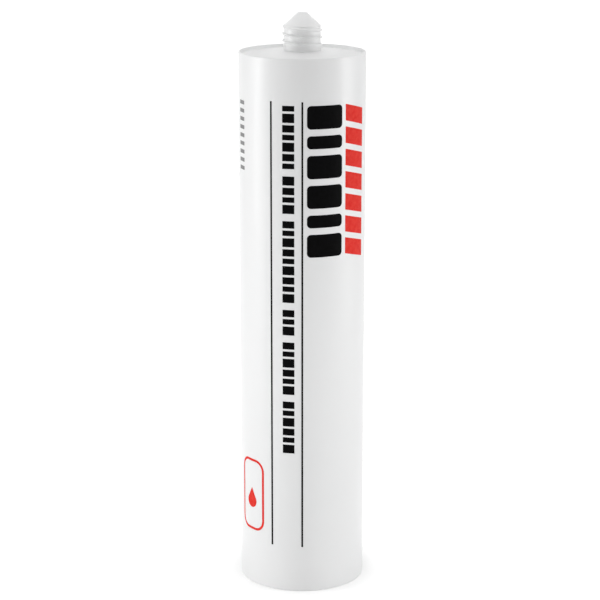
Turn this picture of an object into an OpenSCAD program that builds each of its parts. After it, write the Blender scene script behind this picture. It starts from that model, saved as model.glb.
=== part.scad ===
// Sealant cartridge for a dispensing gun, 310 ml class.
// A moulded barrel with a dished head, a threaded neck and a closed cone that is cut off to open it,
// a cup-shaped piston that slides in the bore, and the sealant between the two.
// The cartridge stands on its open rear end: z = 0 is that end, and the neck points up.
// The front, where the print is read, faces -Y.

/* [Barrel] */
// Outside diameter of the barrel
barrel_d = 50; // [46:0.5:56]
// Wall of the barrel
barrel_wall = 1.6; // [1.2:0.1:2.2]
// Length from the rear end to the rim of the head
barrel_l = 215; // [190:1:250]
// Edge break around the outside of the rear end
rear_break = 0.4; // [0.2:0.1:0.7]
// Lead-in chamfer at the mouth of the bore
rear_lead = 0.7; // [0.3:0.1:0.8]

/* [Head] */
// Width of the raised rim around the dished head, at its foot
rim_w = 1.6; // [1.3:0.1:2.6]
// Width of the rim at its top, from which its inner side slopes down to the dish
rim_top = 0.9; // [0.8:0.1:1.2]
// Rounding of the rim's outer edge
rim_round = 0.5; // [0.3:0.1:0.6]
// Depth of the dish beside the rim
dish_depth = 1.4; // [0.8:0.1:2.4]
// Rise of the head plate from the rim to the neck
dish_rise = 1.6; // [0.4:0.1:2]
// Fillet in the corner of the dish
dish_fillet = 0.5; // [0.2:0.1:0.7]
// Thickness of the head plate
head_wall = 1.8; // [1.4:0.1:2.6]
// Fillet inside, where the bore meets the head
bore_fillet = 1; // [0.4:0.1:1.4]

/* [Neck] */
// Diameter of the neck between the threads
neck_d = 14.4; // [13:0.2:17]
// Height of the neck above the rim
neck_l = 10; // [9:0.2:14]
// Wall of the neck
neck_wall = 1.5; // [1.2:0.1:2]
// Fillet between the neck and the head plate
neck_flare = 0.5; // [0.3:0.1:1.2]
// Edge break inside, where the bore runs into the neck
throat_break = 0.8; // [0.4:0.1:1.2]
// Angle between the closed cone's side and its axis
cone_angle = 47.5; // [40:0.5:54]
// Diameter of the cone's blunt end
tip_d = 3.8; // [2:0.2:5]
// Rounding of the cone's blunt end
tip_round = 0.6; // [0.3:0.1:1.2]
// Wall of the closed cone
cone_wall = 1.2; // [0.9:0.1:1.4]

/* [Thread] */
// Hand of the nozzle thread
thread_hand = -1; // [-1:left, 1:right]
// Rise of the thread in one turn
thread_pitch = 2.8; // [2.4:0.1:3]
// Height of the thread above the neck
thread_h = 0.65; // [0.5:0.05:1]
// Width of the flat crest
thread_crest = 0.4; // [0.3:0.05:0.7]
// Slope of the thread's sides
thread_slope = 30; // [20:1:40]
// Height of the lowest crest above the rim
thread_start = 2.2; // [2:0.1:2.6]
// Number of turns
thread_turns = 2.75; // [1.5:0.25:2.75]

/* [Piston] */
// Distance of the piston's rear edge from the rear end, cartridge full
piston_inset = 17; // [10:0.5:30]
// Length of the piston's skirt
piston_l = 15; // [13:0.5:20]
// Wall of the skirt
skirt_wall = 1.3; // [1:0.1:1.8]
// Thickness of the web that pushes the sealant
web_t = 1.5; // [1.2:0.1:2]
// Relief of the skirt between its two sealing beads
skirt_relief = 0.5; // [0.3:0.05:0.8]
// Length of each sealing bead
bead_l = 1.6; // [1:0.1:2.2]
// Depth of the groove behind the wiping lip
groove_depth = 2.4; // [1.6:0.1:3]
// Width of that groove
groove_w = 1.7; // [1:0.1:2.2]
// Thickness of the wiping lip
lip_t = 1; // [0.8:0.1:1.4]
// Number of stiffening ribs
rib_count = 8; // [4:1:12]
// Thickness of a rib
rib_t = 1.2; // [0.8:0.1:2]
// Distance of the ribs from the skirt's rear edge
rib_inset = 5.5; // [4:0.5:7]
// Diameter of the ring that joins the ribs
hub_d = 14; // [8:0.5:20]
// Radial clearance of the sealing beads in the bore
piston_fit = 0.05; // [0.02:0.01:0.08]

/* [Sealant] */
// Gap between the piston and the sealant
fill_gap = 0.3; // [0.2:0.05:0.5]
// Film between the sealant and the walls around it
fill_film = 0.04; // [0.02:0.01:0.08]

/* [Print] */
// Thickness of the printed ink
ink_t = 0.05; // [0.03:0.01:0.1]
// Distance of the ruled lines from the rim
rule_top = 16.5; // [10:0.5:24]
// Distance of the ruled lines from the rear end
rule_bottom = 19; // [12:0.5:30]
// Width of a ruled line
rule_w = 0.7; // [0.4:0.05:1.2]
// Distance between the two ruled lines, around the barrel
rule_span = 12.5; // [10.5:0.1:14]
// Distance of the printed blocks from the rim
block_top = 18; // [12:0.5:26]
// Height of the small blocks, around the barrel
small_h = 4.7; // [3:0.1:5.6]
// Distance of the small blocks from the right ruled line
small_side = 3.1; // [2:0.1:4]
// Length of the shortest small block
small_l = 2.1; // [1.5:0.1:2.6]
// Step to the next longer small block
small_step = 0.7; // [0.3:0.1:0.9]
// Gap between two small blocks
small_gap = 0.9; // [0.5:0.1:1.1]
// Gap between two runs of small blocks
run_gap = 2.9; // [2:0.1:3.2]
// Height of the bold blocks, around the barrel
bold_h = 14.6; // [10:0.2:15]
// Gap between the right ruled line and the bold row, and between that and the slanted row
row_gap = 1.8; // [1:0.1:2.4]
// Length of a long bold block
bold_l = 9; // [7:0.5:10]
// Length of a short bold block
bold_s = 5; // [4:0.5:6]
// Gap between two bold blocks
bold_gap = 2.6; // [1.6:0.1:3.4]
// Rounding of the bold blocks
bold_round = 1.6; // [0.5:0.1:1.9]
// Height of the slanted bars, around the barrel
slant_h = 11.4; // [8:0.2:12]
// Length of a slanted bar
slant_l = 6.4; // [4:0.2:7.2]
// Gap between two slanted bars
slant_gap = 2.3; // [1.4:0.1:3]
// Lean of the slanted bars
slant_lean = 14; // [0:1:20]
// Height of the pale dashes, around the barrel
dash_h = 4.4; // [2:0.2:5]
// Length of a pale dash
dash_l = 1.5; // [0.8:0.1:2]
// Distance from one pale dash to the next
dash_pitch = 3.2; // [2.4:0.1:3.6]
// Distance of the pale dashes from the left ruled line
dash_side = 15.4; // [14:0.2:17]
// Length of the framed mark
mark_l = 30; // [22:1:34]
// Width of the framed mark, around the barrel
mark_w = 14; // [12:0.5:16]
// Distance of the framed mark from the left ruled line
mark_side = 4; // [2:0.2:6]
// Height of the framed mark's middle above the rear end
mark_z = 38; // [34:1:50]
// Line width of the framed mark
mark_line = 1; // [0.6:0.1:1.4]
// Rounding of the framed mark
mark_round = 4.6; // [2:0.2:5.6]
// Radius of the drop in the framed mark
drop_r = 2.8; // [2:0.1:3.4]

/* [Hidden] */
$fn = 96;
arc_steps = 6;

// Outside of the barrel and the head
barrel_r = barrel_d / 2;
bore_r = barrel_r - barrel_wall;
rim_z = barrel_l;
dish_r = barrel_r - rim_w;
dish_z = rim_z - dish_depth;
neck_r = neck_d / 2;
plate_slope = atan(dish_rise / (dish_r - neck_r));
rim_lean = atan((rim_w - rim_top) / dish_depth);

// Neck and closed cone
neck_bore_r = neck_r - neck_wall;
cone_z = rim_z + neck_l;
tip_z = cone_z + (neck_r - tip_d / 2) / tan(cone_angle);
cone_skin = cone_wall / cos(cone_angle);
throat_z = cone_z + (neck_wall - cone_skin) / tan(cone_angle);
tip_in_z = tip_z - cone_wall;
tip_in_r = cone_r(tip_in_z) - cone_skin;

// Radii of the piston, from its beads inwards
bead_r = bore_r - piston_fit;
skirt_r = bead_r - skirt_relief;
skirt_in_r = skirt_r - skirt_wall;
lip_in_r = bead_r - lip_t;
shoulder_r = lip_in_r - groove_w;
web_foot = piston_l - groove_depth - web_t;
bead_break = 0.5;

// Middles of the printed rows, as distances around the barrel from its front towards +X
small_at = -small_side - small_h / 2;
bold_at = row_gap + bold_h / 2;
slant_at = bold_at + bold_h / 2 + row_gap + slant_h / 2;
dash_at = -rule_span - dash_side - dash_h / 2;
mark_at = -rule_span - mark_side - mark_w / 2;

// Bold blocks from the head down, and the number of blocks in each run of small ones
bold_blocks = [bold_l, bold_s, bold_l, bold_l, bold_s, bold_l];
small_runs = [7, 4, 9, 3, 6, 6];
slant_count = 7;
dash_count = 9;

// Height of the head plate's outside and inside at a radius
function plate(r) = dish_z + (dish_r - r) * tan(plate_slope);
function under(r) = plate(r) - head_wall;

// Radius of the cone's outside at a height
function cone_r(z) = neck_r - (z - cone_z) * tan(cone_angle);

// Height of the piston's front at a radius, from its rear edge: it matches the inside of the head
function front(r) = piston_l + (bore_r - r) * tan(plate_slope);

// Points of an arc about (r, z), from angle a to angle b
function arc(r, z, radius, a, b) =
    [for (i = [0:arc_steps]) let (t = a + (b - a) * i / arc_steps) [r + radius * cos(t), z + radius * sin(t)]];

// Outside of the cartridge, from the rear end up to the tip
function outside() = concat(
    [[barrel_r - rear_break, 0], [barrel_r, rear_break]],
    arc(barrel_r - rim_round, rim_z - rim_round, rim_round, 0, 90),
    [[barrel_r - rim_top, rim_z]],
    inner_corner(dish_r - rim_foot(), dish_fillet, -rim_lean, -90 - plate_slope),
    inner_corner(neck_r + neck_flare, neck_flare, -90 - plate_slope, -180),
    [[neck_r, cone_z]],
    arc(cone_r(tip_z - tip_round) - tip_round / cos(cone_angle), tip_z - tip_round, tip_round, cone_angle, 90),
    [[0, tip_z]]);

// Distance of the dish fillet's middle from the foot of the rim's sloping side
function rim_foot() = dish_fillet * (cos(plate_slope) - sin(rim_lean)) / cos(rim_lean - plate_slope);

// A fillet that stands on the head plate
function inner_corner(r, radius, a, b) = arc(r, plate(r) + radius / cos(plate_slope), radius, a, b);

// Inside of the cartridge, from the tip down to the rear end
function inside() =
    let (corner_r = bore_r - bore_fillet, mouth_r = neck_bore_r + throat_break)
    concat(
        [[0, tip_in_z], [tip_in_r, tip_in_z], [neck_bore_r, throat_z]],
        [[neck_bore_r, under(neck_bore_r) + throat_break], [mouth_r, under(mouth_r)]],
        arc(corner_r, under(corner_r) - bore_fillet / cos(plate_slope), bore_fillet, 90 - plate_slope, 0),
        [[bore_r, rear_lead], [bore_r + rear_lead / 2, 0]]);

module cartridge() {
    color("white")
    union() {
        rotate_extrude() polygon(concat(outside(), inside()));
        thread_ridge();
    }
}

// One helical ridge: rings of four corners along the helix, sinking into the neck at both ends
module thread_ridge() {
    steps = 54;
    rings = ceil(steps * thread_turns);
    fade = steps / 8;
    lowest_at = 45;
    sunk = 0.2;
    root_r = neck_r - neck_wall / 2;
    root_half = thread_crest / 2 + (thread_h + neck_wall / 2) * tan(thread_slope);
    function grown(i) = min(1, i / fade, (rings - i) / fade);
    function crest_r(i) = neck_r - sunk + (thread_h + sunk) * grown(i);
    function at(i, r, dz) =
        let (a = lowest_at + thread_hand * 360 * i / steps)
        [r * cos(a), r * sin(a), rim_z + thread_start + thread_pitch * i / steps + dz];
    corners = [for (i = [0:rings]) each [
        at(i, root_r, -root_half),
        at(i, crest_r(i), -thread_crest / 2),
        at(i, crest_r(i), thread_crest / 2),
        at(i, root_r, root_half)]];
    strips = [for (i = [0:rings - 1], k = [0:3])
        let (a = 4 * i + k, b = 4 * i + (k + 1) % 4)
        each [[a, a + 4, b + 4], [a, b + 4, b]]];
    faces = concat(strips, [[0, 1, 2, 3], [for (k = [3:-1:0]) 4 * rings + k]]);
    polyhedron(corners, thread_hand < 0 ? faces : [for (f = faces) [for (k = [len(f) - 1:-1:0]) f[k]]]);
}

module piston() {
    color("gainsboro")
    translate([0, 0, piston_inset])
    union() {
        rotate_extrude() polygon(piston_section());
        for (i = [0:rib_count - 1]) rotate([0, 0, 360 * i / rib_count]) rib();
        hub();
    }
}

// Half section of the piston: front face, groove and wiping lip, beads and skirt, and the web's back
function piston_section() =
    let (top = front(neck_bore_r), rim = piston_l - bore_fillet, step_r = shoulder_r - web_t)
    concat(
        [[0, top], [neck_bore_r, top], [shoulder_r, front(shoulder_r)]],
        [[shoulder_r, piston_l - groove_depth], [lip_in_r, piston_l - groove_depth]],
        [[lip_in_r, piston_l - bore_fillet / 2], [bead_r, rim], [bead_r, rim - bead_l]],
        [[skirt_r, rim - bead_l - skirt_relief], [skirt_r, bead_break + bead_l + skirt_relief]],
        [[bead_r, bead_break + bead_l], [bead_r, bead_break], [bead_r - bead_break, 0], [skirt_in_r, 0]],
        [[skirt_in_r, web_foot], [step_r, web_foot], [step_r, front(step_r) - web_t]],
        [[neck_bore_r, top - web_t], [0, top - web_t]]);

// A rib from the hub to the skirt, with its edges sunk into both and into the web
module rib() {
    outer_r = skirt_in_r + skirt_wall / 2;
    inner_r = hub_d / 2 - rib_t / 2;
    step_r = shoulder_r - web_t / 2;
    rotate([90, 0, 0])
    linear_extrude(height = rib_t, center = true)
    polygon([[inner_r, rib_inset], [outer_r, rib_inset], [outer_r, web_foot + web_t / 2],
        [step_r, web_foot + web_t / 2], [step_r, front(step_r) - web_t / 2],
        [inner_r, front(inner_r) - web_t / 2]]);
}

module hub() {
    difference() {
        translate([0, 0, rib_inset]) cylinder(h = front(hub_d / 2) - web_t / 2 - rib_inset, d = hub_d);
        cylinder(h = front(0), d = hub_d - 2 * rib_t);
    }
}

// The filling, between the piston's front and the inside of the head, the neck and the cone
module sealant() {
    base = piston_inset + fill_gap;
    wall_r = bore_r - fill_film;
    neck_fill_r = neck_bore_r - fill_film;
    corner_r = wall_r - bore_fillet;
    mouth_r = neck_bore_r + throat_break;
    color("whitesmoke")
    rotate_extrude()
    polygon([[0, base + front(neck_bore_r)], [neck_bore_r, base + front(neck_bore_r)],
        [wall_r, base + front(wall_r)], [wall_r, under(bore_r) - bore_fillet - fill_film],
        [corner_r, under(corner_r) - fill_film], [mouth_r, under(mouth_r) - fill_film],
        [neck_fill_r, under(neck_bore_r) + throat_break], [neck_fill_r, throat_z - fill_film],
        [tip_in_r - fill_film, tip_in_z - fill_film], [0, tip_in_z - fill_film]]);
}

// Angle that a distance around the barrel spans
function around(distance) = distance / barrel_r * 180 / PI;

// Sum of the first n numbers of a list
function sum(list, n) = n <= 0 ? 0 : list[n - 1] + sum(list, n - 1);

// A straight field of ink, w wide about a place around the barrel, from one height to another
module field(at, w, low, high) {
    rotate([0, 0, around(at - w / 2) - 90])
    rotate_extrude(angle = around(w))
    translate([barrel_r, low]) square([ink_t, high - low]);
}

// A field of ink of any flat outline up to w wide, pressed on the barrel about a place around it
module pressed(at, w) {
    intersection() {
        field(at, 1.5 * w, 0, rim_z);
        rotate([0, 0, around(at)]) rotate([90, 0, 0]) linear_extrude(height = barrel_d) children();
    }
}

module rounded(w, h, r) {
    square([w - 2 * r, h], center = true);
    square([w, h - 2 * r], center = true);
    for (x = [-1, 1], y = [-1, 1]) translate([x * (w / 2 - r), y * (h / 2 - r)]) circle(r = r, $fn = 32);
}

module print_black() {
    color("black") {
        for (at = [-rule_span, 0]) field(at, rule_w, rule_bottom, rim_z - rule_top);
        small_blocks();
        bold_row();
    }
}

// Runs of small blocks from the head down, in three lengths that take turns
module small_blocks() {
    function block_l(i) = small_l + small_step * (i * 2 % 3);
    steps = [for (i = [0:sum(small_runs, len(small_runs)) - 1]) block_l(i) + small_gap];
    for (run = [0:len(small_runs) - 1], k = [0:small_runs[run] - 1]) {
        i = sum(small_runs, run) + k;
        top = rim_z - block_top - sum(steps, i) - run * (run_gap - small_gap);
        field(small_at, small_h, top - block_l(i), top);
    }
}

module bold_row() {
    for (i = [0:len(bold_blocks) - 1]) {
        middle = rim_z - block_top - sum(bold_blocks, i) - i * bold_gap - bold_blocks[i] / 2;
        pressed(bold_at, bold_h) translate([0, middle]) rounded(bold_h, bold_blocks[i], bold_round);
    }
}

module print_red() {
    color("red") {
        for (i = [0:slant_count - 1])
            pressed(slant_at, slant_h) slant_bar(rim_z - block_top - i * (slant_l + slant_gap));
        pressed(mark_at, mark_w) translate([0, mark_z]) framed_mark();
    }
}

// A bar that leans down towards +X
module slant_bar(top) {
    drop = slant_h * tan(slant_lean);
    left = -slant_h / 2;
    polygon([[left, top], [-left, top - drop], [-left, top - drop - slant_l], [left, top - slant_l]]);
}

// A rounded frame around a plain drop
module framed_mark() {
    difference() {
        rounded(mark_w, mark_l, mark_round);
        rounded(mark_w - 2 * mark_line, mark_l - 2 * mark_line, mark_round - mark_line);
    }
    translate([0, -drop_r]) {
        circle(r = drop_r, $fn = 32);
        polygon([for (x = [-1, 1]) [x * drop_r * cos(30), drop_r * sin(30)], [0, 2 * drop_r]]);
    }
}

module print_grey() {
    color("gray")
    for (i = [0:dash_count - 1]) {
        top = rim_z - block_top - i * dash_pitch;
        field(dash_at, dash_h, top - dash_l, top);
    }
}

cartridge();
piston();
sealant();
print_black();
print_red();
print_grey();
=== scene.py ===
# %% [markdown]
# A sealant cartridge for a dispensing gun, standing upright in a plain studio.
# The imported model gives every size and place. This script gives its pieces finer meshes and their finish.
# It works through the moulding, its thread, the piston, the sealant and the print, then the finishes and
# the studio. Each piece starts as a small drawing in millimetres and ends as one closed mesh.

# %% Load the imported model
import math

import bmesh
import bpy
from mathutils import Matrix, Vector


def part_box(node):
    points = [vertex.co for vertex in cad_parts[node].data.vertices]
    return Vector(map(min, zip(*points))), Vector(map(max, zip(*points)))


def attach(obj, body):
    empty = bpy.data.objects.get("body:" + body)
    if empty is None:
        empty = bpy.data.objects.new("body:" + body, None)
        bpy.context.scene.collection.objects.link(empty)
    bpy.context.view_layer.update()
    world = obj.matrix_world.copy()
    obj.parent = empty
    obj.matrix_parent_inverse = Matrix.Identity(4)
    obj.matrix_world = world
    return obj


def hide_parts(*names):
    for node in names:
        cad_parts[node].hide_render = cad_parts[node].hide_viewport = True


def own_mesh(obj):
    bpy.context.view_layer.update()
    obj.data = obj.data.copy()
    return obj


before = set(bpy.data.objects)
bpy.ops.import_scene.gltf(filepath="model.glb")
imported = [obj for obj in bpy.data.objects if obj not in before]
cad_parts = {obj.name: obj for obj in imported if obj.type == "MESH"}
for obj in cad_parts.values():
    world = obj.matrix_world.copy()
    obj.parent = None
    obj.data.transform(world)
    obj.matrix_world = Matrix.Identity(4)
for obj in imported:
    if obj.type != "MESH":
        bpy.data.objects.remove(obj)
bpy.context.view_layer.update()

# %% [markdown]
# The camera comes first, because it decides what is worth modelling. A long lens keeps the sides of the
# cylinder nearly parallel, and the camera looks a little down, so that the dished head and the round of
# the lower edge both show. Its place was found from the outline's width, height and two ellipses. All
# lengths in this script are millimetres, unless they say otherwise, and MM turns them into metres.

# %% Camera
MM = 0.001
camera_away = 772
camera_height = 310.1
camera_side = -0.88
camera_down = 14.19

camera_data = bpy.data.cameras.new("studio_camera")
camera_data.sensor_width = 36
camera_data.lens = 119
camera = bpy.data.objects.new("studio_camera", camera_data)
camera.location = Vector((camera_side, -camera_away, camera_height)) * MM
camera.rotation_euler = (math.radians(90 - camera_down), 0, 0)
bpy.context.scene.collection.objects.link(camera)
bpy.context.scene.camera = camera
print("camera to the barrel's axis:", camera_away, "mm")

# %% [markdown]
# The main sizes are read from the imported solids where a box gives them. The rest are the moulding's own
# walls, heights and roundings. The head plate is a shallow cone, so two small functions give the height
# of its outside and of its underside at any radius, and every piece that meets the head uses them.

# %% Sizes in millimetres
barrel_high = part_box("cartridge")[1] / MM
piston_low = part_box("piston")[0] / MM
barrel_r = round(barrel_high.x, 2)
tip_z = barrel_high.z
piston_z = round(piston_low.z, 2)
barrel_wall = 1.6
bore_r = barrel_r - barrel_wall
bore_fillet = 1
rear_break = 0.4
rear_lead = 0.7

rim_z = 215
rim_w = 1.6
rim_top = 0.9
rim_round = 0.5
rim_top_r = barrel_r - rim_top
dish_r = barrel_r - rim_w
dish_depth = 1.4
dish_z = rim_z - dish_depth
dish_rise = 1.6
dish_fillet = 0.5
head_wall = 1.8

neck_r = 7.2
neck_l = 10
neck_wall = 1.5
neck_flare = 0.5
neck_bore_r = neck_r - neck_wall
throat_break = 0.8
cone_z = rim_z + neck_l
cone_angle = math.radians(47.5)
cone_wall = 1.2
tip_round = 0.6
plate_slope = math.atan(dish_rise / (dish_r - neck_r))


def plate(r):
    """Height of the head plate's outside at a radius."""
    return dish_z + (dish_r - r) * math.tan(plate_slope)


def under(r):
    """Height of the head plate's underside at a radius."""
    return plate(r) - head_wall


def cone_r(z):
    """Radius of the closed cone's outside at a height."""
    return neck_r - (z - cone_z) * math.tan(cone_angle)


print("barrel radius", barrel_r, "tip at", round(tip_z, 2), "piston from", piston_z)

# %% [markdown]
# The barrel, head, neck and closed cone are one injection moulding, round about one axis. Such a shape
# could be a cylinder with loops cut in, but a half section that is spun is closer to how it is turned in
# the mould's steel. The section is a short list of corners, each with the radius of its rounding.
# Two helpers turn corners into a line: one rounds them, and one adds a point close to both ends of each
# long straight, so that smooth shading stays flat on the walls and turns only at the edges.

# %% Rounded half sections
hold = 0.15
long_straight = 6 * hold
arc_turn = math.radians(12)


def rounded(corners):
    """A line through (r, z, rounding) corners, with an arc in place of each corner that has a rounding."""
    line = []
    neighbours = zip([corners[0]] + corners[:-1], corners, corners[1:] + [corners[-1]])
    for before, (r, z, rounding), after in neighbours:
        corner = Vector((r, z))
        if not rounding:
            line.append(corner)
            continue
        back = (Vector(before[:2]) - corner).normalized()
        ahead = (Vector(after[:2]) - corner).normalized()
        bend = math.pi - back.angle(ahead)
        start = corner + back * rounding * math.tan(bend / 2)
        centre = corner + (back + ahead).normalized() * rounding / math.cos(bend / 2)
        side = math.copysign(1, back.cross(ahead))
        steps = max(2, round(bend / arc_turn))
        for i in range(steps + 1):
            turned = Matrix.Rotation(-side * bend * i / steps, 2) @ (start - centre)
            line.append(centre + turned)
    return held(line)


def held(line):
    """The line with a point close to both ends of each long straight."""
    points = [line[0]]
    for start, end in zip(line, line[1:]):
        along = end - start
        if along.length > long_straight:
            points += [start + along.normalized() * hold, end - along.normalized() * hold]
        points.append(end)
    return points


print("points in a rounded square:", len(rounded([(1, 0, 0), (5, 0, 1), (5, 4, 1), (1, 4, 0)])))

# %% [markdown]
# The section is drawn as a chain of edges in the plane of the axis, and bmesh's spin takes it round.
# A full spin merges its last row with its first. What lies on the axis still comes out as one point a
# step, so doubles are merged before the normals are made to face outwards.

# %% Drawing and spinning a section
round_steps = 240
double_gap = 0.0005


def drawn(line, closed=False):
    """A new bmesh with a chain of edges through (r, z) points, and those edges in order."""
    shape = bmesh.new()
    points = [shape.verts.new((r, 0, z)) for r, z in line]
    ends = points[1:] + points[:1] if closed else points[1:]
    return shape, [shape.edges.new(pair) for pair in zip(points, ends)]


def spun(shape, steps=round_steps):
    """The drawing turned all the way round the Z axis, closed at its poles and facing outwards."""
    section = shape.verts[:] + shape.edges[:]
    bmesh.ops.spin(shape, geom=section, cent=(0, 0, 0), axis=(0, 0, 1), angle=2 * math.pi,
                   steps=steps, use_merge=True)
    bmesh.ops.remove_doubles(shape, verts=shape.verts, dist=double_gap)
    bmesh.ops.recalc_face_normals(shape, faces=shape.faces)
    return shape


# %% [markdown]
# A finished drawing becomes an object at the origin, in metres, with its place in its mesh. Edges where
# two faces meet at more than a set angle stay sharp, and all the rest are shaded smooth.

# %% From a drawing to a piece
sharp_angle = math.radians(35)
print_line = "{}: {} faces, {:.1f} to {:.1f} mm high"


def piece(name, shape, body, slot, *nodes):
    """Makes an object of a drawing, on its body, in place of the solids it stands for."""
    for edge in shape.edges:
        edge.smooth = len(edge.link_faces) == 2 and edge.calc_face_angle() < sharp_angle
    for face in shape.faces:
        face.smooth = True
    heights = [point.co.z for point in shape.verts]
    print(print_line.format(name, len(shape.faces), min(heights), max(heights)))
    bmesh.ops.scale(shape, vec=(MM, MM, MM), verts=shape.verts)
    mesh = bpy.data.meshes.new(name)
    shape.to_mesh(mesh)
    shape.free()
    made = bpy.data.objects.new(name, mesh)
    bpy.context.scene.collection.objects.link(made)
    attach(made, body)
    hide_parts(*nodes)
    return made


# %% [markdown]
# Now the moulding itself: outside from the tip of the cone down to the rear end, then inside and up
# again. The rim stands 1.4 mm over the dished plate and leans outwards on its inner side. The cone is
# closed, because it is cut off when the cartridge is first used. The neck and the cone get many rows,
# which the thread needs.

# %% The barrel moulding's section
tip_r = cone_r(tip_z)
cone_skin = cone_wall / math.cos(cone_angle)
tip_in_z = tip_z - cone_wall
tip_in_r = cone_r(tip_in_z) - cone_skin
throat_z = cone_z + (neck_r - neck_bore_r - cone_skin) / math.tan(cone_angle)
outside = [
    (0, tip_z, 0),
    (tip_r, tip_z, tip_round),
    (neck_r, cone_z, 0.3),
    (neck_r, plate(neck_r), neck_flare),
    (dish_r, plate(dish_r), dish_fillet),
    (rim_top_r, rim_z, 0.2),
    (barrel_r, rim_z, rim_round),
    (barrel_r, 0, rear_break),
]
inside = [
    (bore_r + rear_lead / 2, 0, 0.15),
    (bore_r, rear_lead, 0.3),
    (bore_r, under(bore_r), bore_fillet),
    (neck_bore_r, under(neck_bore_r), throat_break),
    (neck_bore_r, throat_z, 0.3),
    (tip_in_r, tip_in_z, 0.4),
    (0, tip_in_z, 0),
]
row = 0.125
on_line = 0.02
barrel_shape, section_edges = drawn(rounded(outside + inside))
for edge in section_edges:
    middle = sum((point.co for point in edge.verts), Vector()) / 2
    outer = abs(middle.x - min(neck_r, cone_r(middle.z))) < on_line
    if middle.z > rim_z and outer and edge.calc_length() > long_straight:
        cuts = round(edge.calc_length() / row)
        bmesh.ops.subdivide_edges(barrel_shape, edges=[edge], cuts=cuts)
spun(barrel_shape)
print("moulding before its thread:", len(barrel_shape.faces), "faces")

# %% [markdown]
# The nozzle thread is a coarse ridge that winds up the neck almost three times and fades out at both
# ends. It could be a strip screwed up the neck and joined by a boolean, but the rows of the neck are
# fine enough to be pushed out instead, which keeps the moulding one clean skin. A formula gives the
# ridge's radius at each point. The ridge starts a little below the neck's surface, and two soft limits
# round its crest and fill its root, as a mould does. Only points of the neck's own outside are pushed.
# The ridge's fade is given in turns, and its lowest point in degrees round the neck.

# %% The nozzle thread
thread_hand = -1
thread_pitch = 2.8
thread_h = 0.65
thread_crest = 0.4
thread_slope = math.radians(30)
thread_start = rim_z + 2.2
thread_turns = 2.75
thread_fade = 1 / 8
lowest_at = 45
sunk = 0.2
soft = 0.2
pushed_from_r = neck_bore_r + 0.1
pushed_to_r = neck_r + 1.1


def lower(a, b, width):
    """The lower of two heights, blended over a width."""
    near = max(width - abs(a - b), 0) / width
    return min(a, b) - near * near * width / 4


def ridge(angle, z):
    """Radius of the thread's surface at an angle in degrees and a height."""
    highest = 0
    for turn in range(math.ceil(thread_turns) + 1):
        along = thread_hand * (angle - lowest_at) / 360 % 1 + turn
        if along > thread_turns:
            break
        grown = min(1, along / thread_fade, (thread_turns - along) / thread_fade)
        crest = neck_r - sunk + (thread_h + sunk) * grown
        off = abs(z - thread_start - thread_pitch * along) - thread_crest / 2
        highest = max(highest, lower(crest, crest - off / math.tan(thread_slope), soft))
    return highest


crest_reached = 0
for point in barrel_shape.verts:
    radius = math.hypot(point.co.x, point.co.y)
    if point.co.z < dish_z or not pushed_from_r < radius < pushed_to_r:
        continue
    angle = math.degrees(math.atan2(point.co.y, point.co.x))
    pushed = -lower(-radius, -ridge(angle, point.co.z), soft)
    if pushed > radius + soft / 4:
        crest_reached = max(crest_reached, pushed)
    point.co.x *= pushed / radius
    point.co.y *= pushed / radius
print("thread crest at radius", round(crest_reached, 2))
barrel = piece("barrel_moulding", barrel_shape, "barrel", "barrel_polyethylene", "cartridge")

# %% [markdown]
# The piston is a separate cup that closes the rear of the bore. Its skirt runs on two beads, drawn a hair
# clear of the bore so that it can slide, and a thin lip in front wipes the wall. It is spun like the
# barrel. Behind its web stand eight radial ribs and a ring. The ribs are flat plates, thickened and
# repeated round the axis, the ring is spun, and a boolean joins them to the cup, so that the piston stays
# one closed solid as it is moulded.

# %% The piston's cup
piston_l = 15
piston_fit = 0.05
bead_r = bore_r - piston_fit
bead_l = 1.6
relief = 0.5
skirt_wall = 1.3
skirt_r = bead_r - relief
skirt_in_r = skirt_r - skirt_wall
lip_t = 1
lip_in_r = bead_r - lip_t
groove_w = 1.7
groove_depth = 2.4
shoulder_r = lip_in_r - groove_w
groove_z = piston_l - groove_depth
web_t = 1.5
web_foot = groove_z - web_t
step_r = shoulder_r - web_t


def front(r):
    """Height of the piston's front above its rear edge: it has the slope of the head's underside."""
    return piston_l + (bore_r - r) * math.tan(plate_slope)


front_bead = piston_l - bore_fillet
rear_bead = 0.5
cup_steps = 144
cup = [
    (0, front(neck_bore_r), 0),
    (neck_bore_r, front(neck_bore_r), 1),
    (shoulder_r, front(shoulder_r), 0.3),
    (shoulder_r, groove_z, 0.5),
    (lip_in_r, groove_z, 0.4),
    (lip_in_r, piston_l - bore_fillet / 2, 0.1),
    (bead_r, front_bead, 0.2),
    (bead_r, front_bead - bead_l, 0.2),
    (skirt_r, front_bead - bead_l - relief, 0.2),
    (skirt_r, rear_bead + bead_l + relief, 0.2),
    (bead_r, rear_bead + bead_l, 0.2),
    (bead_r, rear_bead, 0.15),
    (bead_r - rear_bead, 0, 0.15),
    (skirt_in_r, 0, 0.3),
    (skirt_in_r, web_foot, 0.6),
    (step_r, web_foot, 0.3),
    (step_r, front(step_r) - web_t, 0.5),
    (neck_bore_r, front(neck_bore_r) - web_t, 1),
    (0, front(neck_bore_r) - web_t, 0),
]
cup_shape, _ = drawn(rounded(cup))
spun(cup_shape, cup_steps)
print("piston cup:", len(cup_shape.faces), "faces")

# %% [markdown]
# A rib runs from the ring to the skirt and is sunk a little into both, and into the web. Its plate is one
# face, extruded by its thickness. Its free edge gets a small rounding before the plate is repeated by a
# spin that copies instead of sweeping.

# %% The piston's ribs and ring
rib_count = 8
rib_t = 1.2
rib_z = 5.5
rib_round = 0.25
hub_r = 7
ring_steps = 96
tiny = 0.01


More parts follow.
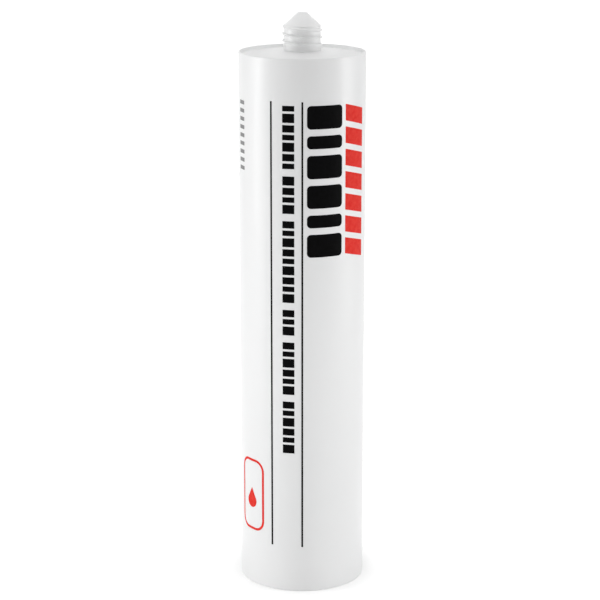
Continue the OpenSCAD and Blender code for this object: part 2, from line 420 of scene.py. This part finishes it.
def is_free(edge):
    """Whether an edge lies on the free end of the ribs and the ring."""
    return all(abs(point.co.z - rib_z) < tiny for point in edge.verts)


def ribs():
    """Eight radial plates behind the web."""
    outer = skirt_in_r + skirt_wall / 2
    inner = hub_r - rib_t / 2
    step = step_r + web_t / 2
    corners = [
        (inner, rib_z),
        (outer, rib_z),
        (outer, web_foot + web_t / 2),
        (step, web_foot + web_t / 2),
        (step, front(step) - web_t / 2),
        (inner, front(inner) - web_t / 2),
    ]
    shape, edges = drawn(corners, closed=True)
    face = bmesh.ops.contextual_create(shape, geom=edges)["faces"][0]
    bmesh.ops.translate(shape, vec=(0, -rib_t / 2, 0), verts=shape.verts)
    thick = bmesh.ops.extrude_face_region(shape, geom=[face])["geom"]
    moved = [part for part in thick if isinstance(part, bmesh.types.BMVert)]
    bmesh.ops.translate(shape, vec=(0, rib_t, 0), verts=moved)
    lower_edges = [edge for edge in shape.edges if is_free(edge) and edge.calc_length() > rib_t * 2]
    bmesh.ops.bevel(shape, geom=lower_edges, offset=rib_round, segments=3, profile=0.5,
                    affect="EDGES", material=-1)
    bmesh.ops.recalc_face_normals(shape, faces=shape.faces)
    whole = shape.verts[:] + shape.edges[:] + shape.faces[:]
    bmesh.ops.spin(shape, geom=whole, cent=(0, 0, 0), axis=(0, 0, 1), steps=rib_count - 1,
                   angle=2 * math.pi * (rib_count - 1) / rib_count, use_duplicate=True)
    return shape


def ring():
    """The ring that joins the ribs round the axis."""
    top = front(hub_r) - web_t / 2
    corners = [(hub_r - rib_t, top), (hub_r - rib_t, rib_z), (hub_r, rib_z), (hub_r, top)]
    shape, _ = drawn(corners, closed=True)
    spun(shape, ring_steps)
    rims = [edge for edge in shape.edges if is_free(edge)
            and abs(edge.verts[0].co.xy.length - edge.verts[1].co.xy.length) < tiny]
    bmesh.ops.bevel(shape, geom=rims, offset=rib_round, segments=3, profile=0.5,
                    affect="EDGES", material=-1)
    return shape


def joined(shape, *others):
    """The first drawing with the others joined to it by an exact boolean, as one closed skin."""
    holder = bpy.data.objects.new("join", bpy.data.meshes.new("join"))
    bpy.context.scene.collection.objects.link(holder)
    shape.to_mesh(holder.data)
    helpers = [holder]
    for other in others:
        helper = bpy.data.objects.new("join_part", bpy.data.meshes.new("join_part"))
        bpy.context.scene.collection.objects.link(helper)
        other.to_mesh(helper.data)
        other.free()
        boolean = holder.modifiers.new("join", "BOOLEAN")
        boolean.operation = "UNION"
        boolean.solver = "EXACT"
        boolean.object = helper
        helpers.append(helper)
    depsgraph = bpy.context.evaluated_depsgraph_get()
    result = holder.evaluated_get(depsgraph).to_mesh()
    shape.clear()
    shape.from_mesh(result)
    for helper in helpers:
        bpy.data.objects.remove(helper)
    return shape


piston_shape = joined(cup_shape, ribs(), ring())
bmesh.ops.translate(piston_shape, vec=(0, 0, piston_z), verts=piston_shape.verts)
open_edges = sum(1 for edge in piston_shape.edges if len(edge.link_faces) != 2)
print("piston's open edges:", open_edges, "volume in mm3:", round(piston_shape.calc_volume()))
piston = piece("piston_cup", piston_shape, "piston", "piston_polyethylene", "piston")

# %% [markdown]
# The sealant fills everything between the piston and the cone. It doesn't show, but it is there, because
# it pushes out as the piston comes up. It is a paste, so it can't follow the piston as a rigid piece.
# Here it is made where the piston stands, and it is carried with the barrel.

# %% The sealant
film = 0.04
fill_gap = 0.3
fill_r = bore_r - film
plug_r = neck_bore_r - film
fill_base = piston_z + fill_gap
fill_steps = 96
sealant_shape, _ = drawn(rounded([
    (0, fill_base + front(neck_bore_r), 0),
    (neck_bore_r, fill_base + front(neck_bore_r), 1),
    (fill_r, fill_base + front(fill_r), 0.3),
    (fill_r, under(fill_r) - film, bore_fillet),
    (plug_r, under(plug_r) - film, throat_break),
    (plug_r, throat_z - film, 0.3),
    (tip_in_r - film, tip_in_z - film, 0.4),
    (0, tip_in_z - film, 0),
]))
spun(sealant_shape, fill_steps)
sealant = piece("sealant_fill", sealant_shape, "barrel", "silicone", "sealant")
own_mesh(sealant)

# %% [markdown]
# The print is ink laid straight on the barrel, a twentieth of a millimetre thick. It is a row of plain
# fields and simple shapes: two ruled lines, small blocks between them, a bold row, slanted red bars, a
# framed mark and pale dashes. A texture could carry it, but real ink has an edge and another gloss than
# the plastic, so it is made as thin solids. Each shape is drawn flat, with x as the distance round the
# barrel from its front and y as the height. All of a colour's shapes are then sliced upright, so that
# they can bend, wrapped round the barrel and given their thickness.

# %% Drawing flat shapes of ink
ink_t = 0.05
slice_w = 0.6


def block(shape, x, y, w, h, rounding=0):
    """Adds a block of ink with its middle at (x, y), and returns its face."""
    before = set(shape.faces)
    place = Matrix.Translation((x, y, 0)) @ Matrix.Diagonal((w, h, 1, 1))
    corners = bmesh.ops.create_grid(shape, x_segments=1, y_segments=1, size=0.5, matrix=place)["verts"]
    if rounding:
        bmesh.ops.bevel(shape, geom=corners, offset=rounding, segments=8, profile=0.5,
                        affect="VERTICES", material=-1)
    return next(face for face in shape.faces if face not in before)


def wrapped(shape):
    """Slices a flat drawing, bends it round the barrel and thickens it outwards."""
    reach = math.ceil(max(abs(point.co.x) for point in shape.verts) / slice_w)
    for i in range(-reach, reach + 1):
        everything = shape.verts[:] + shape.edges[:] + shape.faces[:]
        bmesh.ops.bisect_plane(shape, geom=everything, plane_co=(i * slice_w, 0, 0), plane_no=(1, 0, 0))
    for point in shape.verts:
        around = point.co.x / barrel_r
        point.co = (barrel_r * math.sin(around), -barrel_r * math.cos(around), point.co.y)
    bmesh.ops.recalc_face_normals(shape, faces=shape.faces)
    top = bmesh.ops.extrude_face_region(shape, geom=shape.faces[:])["geom"]
    for point in top:
        if isinstance(point, bmesh.types.BMVert):
            point.co.xy *= (barrel_r + ink_t) / barrel_r
    bmesh.ops.recalc_face_normals(shape, faces=shape.faces)
    return shape


print("slices round a quarter of the barrel:", round(math.pi / 2 * barrel_r / slice_w))

# %% [markdown]
# The black ink has the two ruled lines, the runs of small blocks and the bold row. The small blocks take
# turns between three lengths, so that they read as a line of print from afar without being one.

# %% Black ink
rule_span = 12.5
rule_w = 0.7
rule_low = 19
rule_top = 16.5
rule_high = rim_z - rule_top
block_top = 18
print_top = rim_z - block_top
small_h = 4.7
small_side = 3.1
small_x = -small_side - small_h / 2
small_l = 2.1
small_step = 0.7
small_gap = 0.9
run_gap = 2.9
small_runs = [7, 4, 9, 3, 6, 6]
bold_h = 14.6
row_gap = 1.8
bold_x = row_gap + bold_h / 2
bold_gap = 2.6
bold_blocks = [9, 5, 9, 9, 5, 9]
bold_round = 1.6

black = bmesh.new()
for x in (-rule_span, 0):
    block(black, x, (rule_low + rule_high) / 2, rule_w, rule_high - rule_low)
count = 0
top = print_top
for run in small_runs:
    for _ in range(run):
        length = small_l + small_step * (count * 2 % 3)
        block(black, small_x, top - length / 2, small_h, length)
        top -= length + small_gap
        count += 1
    top -= run_gap - small_gap
top = print_top
for length in bold_blocks:
    block(black, bold_x, top - length / 2, bold_h, length, bold_round)
    top -= length + bold_gap
ink_black = piece("ink_black", wrapped(black), "barrel", "ink_black", "print_black")

# %% [markdown]
# The red ink has seven bars that lean, and a rounded frame with a plain drop in it. A bar is a block that
# is sheared. The frame is a rounded block whose inset face is taken out, and the drop is a circle whose
# top is drawn out to a point, with the points beside it dissolved.

# %% Red ink
slant_count = 7
slant_h = 11.4
slant_l = 6.4
slant_gap = 2.3
slant_lean = math.tan(math.radians(14))
slant_x = bold_x + bold_h / 2 + row_gap + slant_h / 2
mark_w = 14
mark_l = 30
mark_side = 4
mark_x = -rule_span - mark_side - mark_w / 2
mark_y = 38
mark_line = 1
mark_round = 4.6
drop_r = 2.8
drop_points = 24

red = bmesh.new()
for i in range(slant_count):
    bar = block(red, slant_x, print_top - i * (slant_l + slant_gap) - slant_l / 2, slant_h, slant_l)
    for point in bar.verts:
        point.co.y -= (point.co.x - slant_x + slant_h / 2) * slant_lean
mark = block(red, mark_x, mark_y, mark_w, mark_l, mark_round)
bmesh.ops.inset_region(red, faces=[mark], thickness=mark_line, use_boundary=True,
                       use_even_offset=True)
bmesh.ops.delete(red, geom=[mark], context="FACES")
drop_place = Matrix.Translation((mark_x, mark_y - drop_r, 0))
drop = bmesh.ops.create_circle(red, cap_ends=True, segments=drop_points, radius=drop_r, matrix=drop_place)
upper = [point for point in drop["verts"] if point.co.y > mark_y - drop_r / 2 + tiny]
peak = max(upper, key=lambda point: point.co.y)
peak.co.y = mark_y + drop_r
bmesh.ops.dissolve_verts(red, verts=[point for point in upper if point != peak])
ink_red = piece("ink_red", wrapped(red), "barrel", "ink_red", "print_red")

# %% [markdown]
# The grey ink is one column of short dashes far round to the left, and the plainest of the three.

# %% Grey ink
dash_count = 9
dash_h = 4.4
dash_l = 1.5
dash_side = 15.4
dash_x = -rule_span - dash_side - dash_h / 2
dash_pitch = 3.2

grey = bmesh.new()
for i in range(dash_count):
    block(grey, dash_x, print_top - i * dash_pitch - dash_l / 2, dash_h, dash_l)
ink_grey = piece("ink_grey", wrapped(grey), "barrel", "ink_grey", "print_grey")

# %% [markdown]
# Every finish is a Principled shader with a few nodes in front of it. One function turns an sRGB hex
# colour to the linear values that the shader works in, and one adds a node with its settings and links.
# Patterns read Object coordinates, which are metres here, so a pattern that is to repeat every few
# millimetres gets its scale from that length.

# %% Helpers for finishes
def linear(hex_code):
    """Linear colour of an sRGB hex code."""
    channels = [int(hex_code[i:i + 2], 16) / 255 for i in (0, 2, 4)]
    return [c / 12.92 if c <= 0.04045 else ((c + 0.055) / 1.055) ** 2.4 for c in channels] + [1]


def add(tree, kind, inputs=None, **settings):
    """Adds a node with its settings, and gives each named input a value or a link."""
    made = tree.nodes.new(kind)
    for name, value in settings.items():
        setattr(made, name, value)
    for name, value in (inputs or {}).items():
        if isinstance(value, bpy.types.NodeSocket):
            tree.links.new(value, made.inputs[name])
        else:
            made.inputs[name].default_value = value
    return made


def scale_for(length):
    """Scale of a noise texture whose features are about so many millimetres long."""
    return 1 / (length * MM)


def finish(name, build):
    """A material whose shader and pattern are made by a function of its node tree."""
    material = bpy.data.materials.new(name)
    material.use_nodes = True
    tree = material.node_tree
    tree.nodes.clear()
    shader = build(tree, add(tree, "ShaderNodeTexCoord").outputs["Object"])
    add(tree, "ShaderNodeOutputMaterial", {"Surface": shader.outputs[0]})
    print(name, "has", len(tree.nodes), "nodes")
    return material


# %% [markdown]
# The barrel is high-density polyethylene, filled white and injection moulded against polished steel. That
# gives a satin skin: a broad, soft highlight, a little light that sinks in and comes out again, and a
# faint unevenness along the barrel where the melt flowed. Its grain is finer than a pixel, so it is drawn
# a little coarser than it is, and kept very low.

# %% Barrel: satin moulded polyethylene
grain = 1.2
grain_depth = 0.02
flow_w = 7
flow_stretch = 0.12
flow_depth = 0.1
cloud = 45
scatter = 1.2


def satin_polyethylene(tree, place):
    """White filled polyethylene, moulded against polished steel."""
    clouds = add(tree, "ShaderNodeTexNoise", {"Vector": place, "Scale": scale_for(cloud), "Detail": 2.0})
    tone = add(tree, "ShaderNodeMix", {0: clouds.outputs["Fac"], 6: linear("f3f4f4"), 7: linear("f8f8f8")},
               data_type="RGBA")
    sheen = add(tree, "ShaderNodeMapRange", {0: clouds.outputs["Fac"], 3: 0.36, 4: 0.42})
    along = add(tree, "ShaderNodeMapping", {"Vector": place, "Scale": (1, 1, flow_stretch)})
    flow = add(tree, "ShaderNodeTexNoise", {"Vector": along.outputs[0], "Scale": scale_for(flow_w)})
    waves = add(tree, "ShaderNodeBump", {"Height": flow.outputs["Fac"], "Strength": 0.12,
                                         "Distance": flow_depth * MM})
    skin = add(tree, "ShaderNodeTexNoise", {"Vector": place, "Scale": scale_for(grain), "Detail": 3.0})
    grained = add(tree, "ShaderNodeBump", {"Height": skin.outputs["Fac"], "Strength": 0.15,
                                           "Distance": grain_depth * MM, "Normal": waves.outputs[0]})
    return add(tree, "ShaderNodeBsdfPrincipled", {
        "Base Color": tone.outputs[2], "Roughness": sheen.outputs[0], "Normal": grained.outputs[0],
        "IOR": 1.54, "Subsurface Weight": 0.12, "Subsurface Radius": (1, 1, 1),
        "Subsurface Scale": scatter * MM})


barrel.data.materials.append(finish("satin_polyethylene_moulded", satin_polyethylene))

# %% [markdown]
# The piston is a softer, unfilled polyethylene, so it is milky: darker, warmer and more translucent than
# the barrel. It was moulded against plain turned steel, which leaves fine rings about its axis. They are
# drawn coarser than they are, so that they just show. A wave texture makes 20 rings in 2 pi units.

# %% Piston: milky moulded polyethylene
turning = 1.5
turning_depth = 0.03
rings_in_two_pi = 20
milk_cloud = 8
milk_scatter = 2


def milky_polyethylene(tree, place):
    """Unfilled polyethylene from a turned mould."""
    clouds = add(tree, "ShaderNodeTexNoise", {
        "Vector": place, "Scale": scale_for(milk_cloud), "Detail": 2.0})
    tone = add(tree, "ShaderNodeMix", {0: clouds.outputs["Fac"], 6: linear("dfe2e2"), 7: linear("ebecea")},
               data_type="RGBA")
    rings = add(tree, "ShaderNodeTexWave", {
        "Vector": place, "Scale": scale_for(turning) * 2 * math.pi / rings_in_two_pi, "Distortion": 0.4},
        wave_type="RINGS", rings_direction="Z")
    marks = add(tree, "ShaderNodeBump", {"Height": rings.outputs["Fac"], "Strength": 0.25,
                                         "Distance": turning_depth * MM})
    sheen = add(tree, "ShaderNodeMapRange", {0: clouds.outputs["Fac"], 3: 0.4, 4: 0.52})
    return add(tree, "ShaderNodeBsdfPrincipled", {
        "Base Color": tone.outputs[2], "Roughness": sheen.outputs[0], "Normal": marks.outputs[0],
        "IOR": 1.52, "Subsurface Weight": 0.35, "Subsurface Radius": (1, 0.95, 0.9),
        "Subsurface Scale": milk_scatter * MM})


piston.data.materials.append(finish("milky_polyethylene_moulded", milky_polyethylene))

# %% [markdown]
# Silicone sealant is a stiff paste, wet and slightly see-through at its edge, with the folds that filling
# leaves. It is only seen if the cartridge is taken apart.

# %% Sealant: silicone paste
fold_w = 6
fold_depth = 0.4
paste_scatter = 3


def silicone_paste(tree, place):
    """Off-white paste with the folds that filling leaves."""
    folds = add(tree, "ShaderNodeTexNoise", {"Vector": place, "Scale": scale_for(fold_w), "Detail": 3.0,
                                             "Distortion": 1.2})
    tone = add(tree, "ShaderNodeMix", {0: folds.outputs["Fac"], 6: linear("e4e3df"), 7: linear("efeeea")},
               data_type="RGBA")
    lumps = add(tree, "ShaderNodeBump", {"Height": folds.outputs["Fac"], "Strength": 0.5,
                                         "Distance": fold_depth * MM})
    return add(tree, "ShaderNodeBsdfPrincipled", {
        "Base Color": tone.outputs[2], "Roughness": 0.3, "Normal": lumps.outputs[0], "IOR": 1.41,
        "Subsurface Weight": 0.4, "Subsurface Radius": (1, 0.95, 0.85),
        "Subsurface Scale": paste_scatter * MM})


sealant.data.materials.append(finish("silicone_paste_wet", silicone_paste))

# %% [markdown]
# Print on polyethylene is a solvent ink, rolled on from a plate. It dries almost without gloss, and isn't
# quite even: the roller leaves slightly thinner spots, which are paler. All three inks share one recipe,
# and differ in their colour at full and at thin strength.

# %% Inks
ink_mottle = 1.6
peel_depth = 0.02


def rolled_ink(full, thin):
    """A recipe for ink with a colour where it lies thick and one where it lies thin."""
    def build(tree, place):
        mottle = add(tree, "ShaderNodeTexNoise", {"Vector": place, "Scale": scale_for(ink_mottle),
                                                  "Detail": 4.0, "Roughness": 0.6})
        spots = add(tree, "ShaderNodeMapRange", {0: mottle.outputs["Fac"], 1: 0.35, 2: 0.75})
        tone = add(tree, "ShaderNodeMix", {0: spots.outputs[0], 6: linear(full), 7: linear(thin)},
                   data_type="RGBA")
        gloss = add(tree, "ShaderNodeMapRange", {0: mottle.outputs["Fac"], 3: 0.4, 4: 0.52})
        orange_peel = add(tree, "ShaderNodeBump", {"Height": mottle.outputs["Fac"], "Strength": 0.12,
                                                   "Distance": peel_depth * MM})
        return add(tree, "ShaderNodeBsdfPrincipled", {
            "Base Color": tone.outputs[2], "Roughness": gloss.outputs[0],
            "Normal": orange_peel.outputs[0], "IOR": 1.5, "Specular IOR Level": 0.03})
    return build


ink_black.data.materials.append(finish("rolled_ink_black", rolled_ink("020202", "080809")))
ink_red.data.materials.append(finish("rolled_ink_red", rolled_ink("ec352e", "f44b41")))
ink_grey.data.materials.append(finish("rolled_ink_grey", rolled_ink("8c8c8c", "a4a4a4")))

# %% [markdown]
# The studio is a white table under a faint white dome. The background is white to the camera and to
# reflections by Light Path, so the dome and the lamps can stay at the level that a white plastic needs to
# keep its shape.

# %% World
dome_level = 0.25


def seen_directly(tree):
    """1 for what the camera, a reflection or a refraction sees, and 0 for light that falls on things."""
    path = add(tree, "ShaderNodeLightPath")
    straight = add(tree, "ShaderNodeMath", {0: path.outputs["Is Camera Ray"],
                                            1: path.outputs["Is Glossy Ray"]}, operation="MAXIMUM")
    return add(tree, "ShaderNodeMath", {0: straight.outputs[0], 1: path.outputs["Is Transmission Ray"]},
               operation="MAXIMUM").outputs[0]


world = bpy.data.worlds.new("white_dome")
bpy.context.scene.world = world
world.use_nodes = True
sky = world.node_tree
sky.nodes.clear()
level = add(sky, "ShaderNodeMapRange", {0: seen_directly(sky), 3: dome_level, 4: 1.0})
dome = add(sky, "ShaderNodeBackground", {"Color": (1, 1, 1, 1), "Strength": level.outputs[0]})
add(sky, "ShaderNodeOutputWorld", {"Surface": dome.outputs[0]})
print("dome level", dome_level)

# %% [markdown]
# The table shows white by a glow that the camera sees, added to the light that really falls on it. Close
# round the foot that glow is weaker, which paints a faint shadow round it, and the cartridge's real shadow
# falls there as well. What the
# table gives off as light is much less, except right under the cartridge. There it lights the recess
# behind the piston, and more softly the ring on which the barrel stands, because light that is caught
# between two white faces builds up. From below the table is see-through, so that this end can be seen.

# %% Table
table_r = 12000
table_drop = 0.02
table_glow = 0.04
recess_glow = 1
end_glow = 0.2
end_r = barrel_r - rear_break
glow_edge = 0.2
painted_shadow_glow = 0.3
painted_shadow_near = 25
painted_shadow_far = 60
table_shape = bmesh.new()
bmesh.ops.create_circle(table_shape, cap_ends=True, segments=64, radius=table_r * MM)
table_mesh = bpy.data.meshes.new("table")
table_shape.to_mesh(table_mesh)
table_shape.free()
table = bpy.data.objects.new("table", table_mesh)
table.location.z = -table_drop * MM
bpy.context.scene.collection.objects.link(table)

table_paint = bpy.data.materials.new("white_table")
table_paint.use_nodes = True
paint = table_paint.node_tree
paint.nodes.clear()
matt = add(paint, "ShaderNodeBsdfDiffuse", {"Color": linear("e8e8e8")})
place = add(paint, "ShaderNodeTexCoord").outputs["Object"]
distance = add(paint, "ShaderNodeVectorMath", {0: place}, operation="LENGTH").outputs["Value"]
# Painted shadow: the glow that the camera sees is weaker close round the foot, whatever light falls there.
white = add(paint, "ShaderNodeMapRange", {
    0: distance, 1: painted_shadow_near * MM, 2: painted_shadow_far * MM, 3: painted_shadow_glow, 4: 1.0})
inner = add(paint, "ShaderNodeMapRange", {
    0: distance, 1: (bore_r - glow_edge) * MM, 2: bore_r * MM, 3: recess_glow, 4: end_glow})
given = add(paint, "ShaderNodeMapRange", {
    0: distance, 1: (end_r - glow_edge) * MM, 2: end_r * MM, 3: inner.outputs[0], 4: table_glow})
strength = add(paint, "ShaderNodeMix", {0: seen_directly(paint), 2: given.outputs[0], 3: white.outputs[0]})
glow = add(paint, "ShaderNodeEmission", {"Color": (1, 1, 1, 1), "Strength": strength.outputs[0]})
lit = add(paint, "ShaderNodeAddShader", {0: matt.outputs[0], 1: glow.outputs[0]})
clear = add(paint, "ShaderNodeBsdfTransparent")
side = add(paint, "ShaderNodeNewGeometry")
both = add(paint, "ShaderNodeMixShader", {
    0: side.outputs["Backfacing"], 1: lit.outputs[0], 2: clear.outputs[0]})
add(paint, "ShaderNodeOutputMaterial", {"Surface": both.outputs[0]})
table.data.materials.append(table_paint)
print("table radius", table_r, "mm")

# %% [markdown]
# Two softboxes stand almost square to the sides. Each puts a bright band on its flank of the barrel, and
# they leave the front the calmest. A broad one overhead lights the head, and weaker ones in front and
# behind fill in the rest. A small low lamp stands so near that the rim keeps its light off the neck: it
# only brightens the middle of the barrel's front, and it is kept out of reflections. Their distances,
# heights and sizes are metres, and their power is watts.

# %% Softboxes
def softbox(name, bearing, away, height, w, h, power):
    """An area lamp that looks at the cartridge's middle, from a bearing in degrees off its front."""
    lamp = bpy.data.lights.new(name, "AREA")
    lamp.shape = "RECTANGLE"
    lamp.size, lamp.size_y = w, h
    lamp.energy = power
    holder = bpy.data.objects.new(name, lamp)
    turn = math.radians(bearing)
    holder.location = (away * math.sin(turn), -away * math.cos(turn), height)
    aim = Vector((0, 0, rim_z * MM / 2)) - holder.location
    holder.rotation_euler = aim.to_track_quat("-Z", "Y").to_euler()
    bpy.context.scene.collection.objects.link(holder)
    print(name, "at", bearing, "degrees")
    return holder


softbox("softbox_left", bearing=-85, away=0.9, height=0.15, w=0.3, h=0.5, power=4)
softbox("softbox_right", bearing=85, away=0.9, height=0.15, w=0.3, h=0.5, power=3.1)
softbox("softbox_front", bearing=0, away=1.2, height=0.2, w=0.6, h=0.6, power=1.1)
softbox("softbox_top", bearing=0, away=0.01, height=1.3, w=0.9, h=0.9, power=5.4)
softbox("softbox_back", bearing=180, away=0.5, height=1.2, w=0.9, h=0.5, power=0.9)
fill = softbox("fill_low", bearing=0, away=0.2, height=0.09, w=0.12, h=0.06, power=0.06)
fill.visible_glossy = False

# %% [markdown]
# The picture uses the Standard view, in which a colour shows about as it was written.

# %% Finish
bpy.context.scene.view_settings.view_transform = "Standard"
